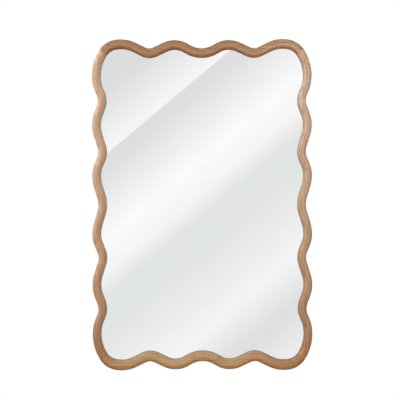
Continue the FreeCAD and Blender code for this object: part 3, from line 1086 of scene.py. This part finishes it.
def makeFibreboard():
    material, tree, shader, place = newMaterial("fibreboard")
    cloud = addNoise(tree, place, **backing["cloud"])
    speck = addNoise(tree, place, **backing["speck"])
    fibre = addMath(tree, "MULTIPLY", addPatches(tree, place, **backing["fibrePatches"]),
                    backing["fibreShare"])
    mottled = addMix(tree, backing["cloudShare"], speck, cloud)
    colour = addTints(tree, mottled, backing["boardTints"])
    feed(tree, shader, Base_Color=addMix(tree, fibre, colour, backing["fibreTint"]),
         Roughness=addRange(tree, speck, *backing["speckShown"], *backing["boardRoughness"]),
         Normal=addBump(tree, speck, *backing["boardBump"]))
    return material


def makeFoam():
    material, tree, shader, place = newMaterial("foamTape", Roughness=0.9)
    bubbles = addNode(tree, "TexVoronoi", {"Vector": place, "Scale": backing["foamCells"]})
    cells = bubbles.outputs["Distance"]
    feed(tree, shader, Base_Color=addTints(tree, cells, backing["foamTints"], *backing["foamShown"]),
         Normal=addBump(tree, cells, *backing["foamBump"]))
    return material


setFinish(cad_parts["backing_board"], makeFibreboard())
setFinish(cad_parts["foam_tape_strips"], makeFoam())
print("board and tape dressed")


# Studio: pale floor, soft boxes, white surroundings and the card that the pane reflects

studio = {
    "floorHeight": -2.0, "floorSize": (13.0, 13.0), "floorGlow": 0.55,
    "floorTints": ((0.86, 0.86, 0.855), (0.89, 0.89, 0.885)),
    "floorCloud": {"stretch": (3, 3, 3), "detail": 3.0},
    "surroundings": 0.2, "mirrored": 0.8,    # the white room as the wood and as the mirror takes it
    "softboxes": {
        "leftKey": {"place": (-1.0, -2.1, 0.75), "aim": (0, 0, 0), "size": (0.7, 1.0), "power": 19.5},
        "rightKey": {"place": (1.3, -2.0, 0.45), "aim": (0, 0, 0), "size": (0.7, 1.0), "power": 17.5},
        "leftStrip": {"place": (-2.2, -0.4, 1.5), "aim": (0, 0, 0.1), "size": (0.9, 1.6), "power": 38.0},
        "overhead": {"place": (0, -0.8, 2.0), "aim": (0, 0, 0), "size": (3.6, 0.7), "power": 22.0},
        "backSoftbox": {"place": (0.8, 2.6, 1.4), "aim": (0, 0, 0), "size": (2.0, 2.0), "power": 60.0},
    },
}


# 1 in what the camera sees, straight or in the mirror, and 0 in light that falls on the wood
def inSight(tree, ray):
    return addMath(tree, "SUBTRACT", 1.0, ray["Diffuse Depth"], True)


def inMirror(tree, ray):
    return addMath(tree, "MULTIPLY", ray["Is Transmission Ray"], inSight(tree, ray))


def makeFloor():
    material, tree, shader, place = newMaterial("paleFloor", Roughness=0.7)
    colour = addTints(tree, addNoise(tree, place, **studio["floorCloud"]), studio["floorTints"])
    ray = addNode(tree, "LightPath").outputs
    looked = addMath(tree, "MAXIMUM", ray["Is Camera Ray"], inMirror(tree, ray))
    glow = addMath(tree, "MULTIPLY", looked, studio["floorGlow"])
    feed(tree, shader, Base_Color=colour, Emission_Color=colour, Emission_Strength=glow)
    floor = newPlane("paleFloor", studio["floorSize"], (0, 0, studio["floorHeight"]))
    setFinish(floor, material)


# The card's shading runs from upper left to lower right, in stops of (place, tone, green tint)
card = {
    "y": -4.5, "size": (2.4, 3.2), "strength": 1.05, "way": (0.64, 0, -0.768), "reach": 1.25,
    "plain": (1.006, 0.994, 1.0), "green": (0.972, 0.995, 0.99),
    "stops": [(0.03, 0.72, 0), (0.09, 0.735, 1), (0.21, 0.905, 0), (0.2245, 0.91, 0), (0.2265, 0.725, 0),
              (0.26, 0.74, 0), (0.41, 0.965, 0), (0.48, 0.905, 0), (0.535, 0.78, 1), (0.61, 0.778, 1),
              (0.79, 0.905, 0), (0.885, 0.745, 0), (0.91, 0.74, 0), (1.0, 0.85, 0)],
}


def cardColour(tone, tinted):
    tint = card["green"] if tinted else card["plain"]
    return tuple(tone * part for part in tint)


def makeCard():
    material = bpy.data.materials.new("reflectionCard")
    tree = emptyTree(material)
    place = addNode(tree, "TexCoord").outputs["Object"]
    across = addNode(tree, "VectorMath", {0: place, 1: card["way"]}, operation="DOT_PRODUCT")
    factor = addRange(tree, across.outputs["Value"], -card["reach"], card["reach"])
    stops = [(spot, cardColour(tone, tinted)) for spot, tone, tinted in card["stops"]]
    shade = addRamp(tree, factor, stops)
    ray = addNode(tree, "LightPath").outputs
    strength = addMath(tree, "MULTIPLY", inSight(tree, ray), card["strength"])
    glow = addNode(tree, "Emission", {"Color": shade, "Strength": strength})
    addNode(tree, "OutputMaterial", {"Surface": glow.outputs[0]})
    board = newPlane("reflectionCard", card["size"], (0, card["y"], 0), (math.pi / 2, 0, 0))
    setFinish(board, material)
    board.visible_camera = False
    board.visible_diffuse = False
    board.visible_shadow = False


def addSoftbox(name, box):
    light = bpy.data.lights.new(name, "AREA")
    light.shape = "RECTANGLE"
    light.size, light.size_y = box["size"]
    light.energy = box["power"]
    lamp = bpy.data.objects.new(name, light)
    bpy.context.scene.collection.objects.link(lamp)
    lamp.location = box["place"]
    lamp.rotation_euler = (Vector(box["aim"]) - Vector(box["place"])).to_track_quat("-Z", "Y").to_euler()
    lamp.visible_camera = False
    lamp.visible_transmission = False    # no sparks on the wood from light thrown back by the mirror


def makeSurroundings():
    world = bpy.data.worlds.new("studioWhite")
    bpy.context.scene.world = world
    tree = emptyTree(world)
    seen = addNode(tree, "Background", {"Color": (1, 1, 1, 1), "Strength": 1.0})
    ray = addNode(tree, "LightPath").outputs
    strength = addRange(tree, inMirror(tree, ray), 0, 1, studio["surroundings"], studio["mirrored"])
    soft = addNode(tree, "Background", {"Color": (1, 1, 1, 1), "Strength": strength})
    mixed = addNode(tree, "MixShader",
                    {0: ray["Is Camera Ray"], 1: soft.outputs[0], 2: seen.outputs[0]})
    addNode(tree, "OutputWorld", {"Surface": mixed.outputs[0]})


makeFloor()
makeCard()
makeSurroundings()
for name, box in studio["softboxes"].items():
    addSoftbox(name, box)

# Camera square on to the mirror, which stands a little right of and below the picture's middle
photo = {
    "distance": 2.9, "sensor": 36.0,
    "pixels": 400, "metresPerPixel": 0.0027765, "middle": (202.15, 204.68), "roll": math.radians(0.17),
    "silhouetteY": -0.0205,              # where the rounded edges are widest
}


def placeCamera():
    data = bpy.data.cameras.new("photoCamera")
    data.sensor_width = photo["sensor"]
    data.lens = photo["sensor"] * photo["distance"] / (photo["pixels"] * photo["metresPerPixel"])
    camera = bpy.data.objects.new("photoCamera", data)
    bpy.context.scene.collection.objects.link(camera)
    right, down = ((spot - photo["pixels"] / 2) * photo["metresPerPixel"] for spot in photo["middle"])
    camera.location = (-right, photo["silhouetteY"] - photo["distance"], down)
    camera.rotation_euler = (math.pi / 2, photo["roll"], 0)
    bpy.context.scene.camera = camera


placeCamera()
bpy.context.scene.view_settings.view_transform = "Standard"
print("studio and camera ready")
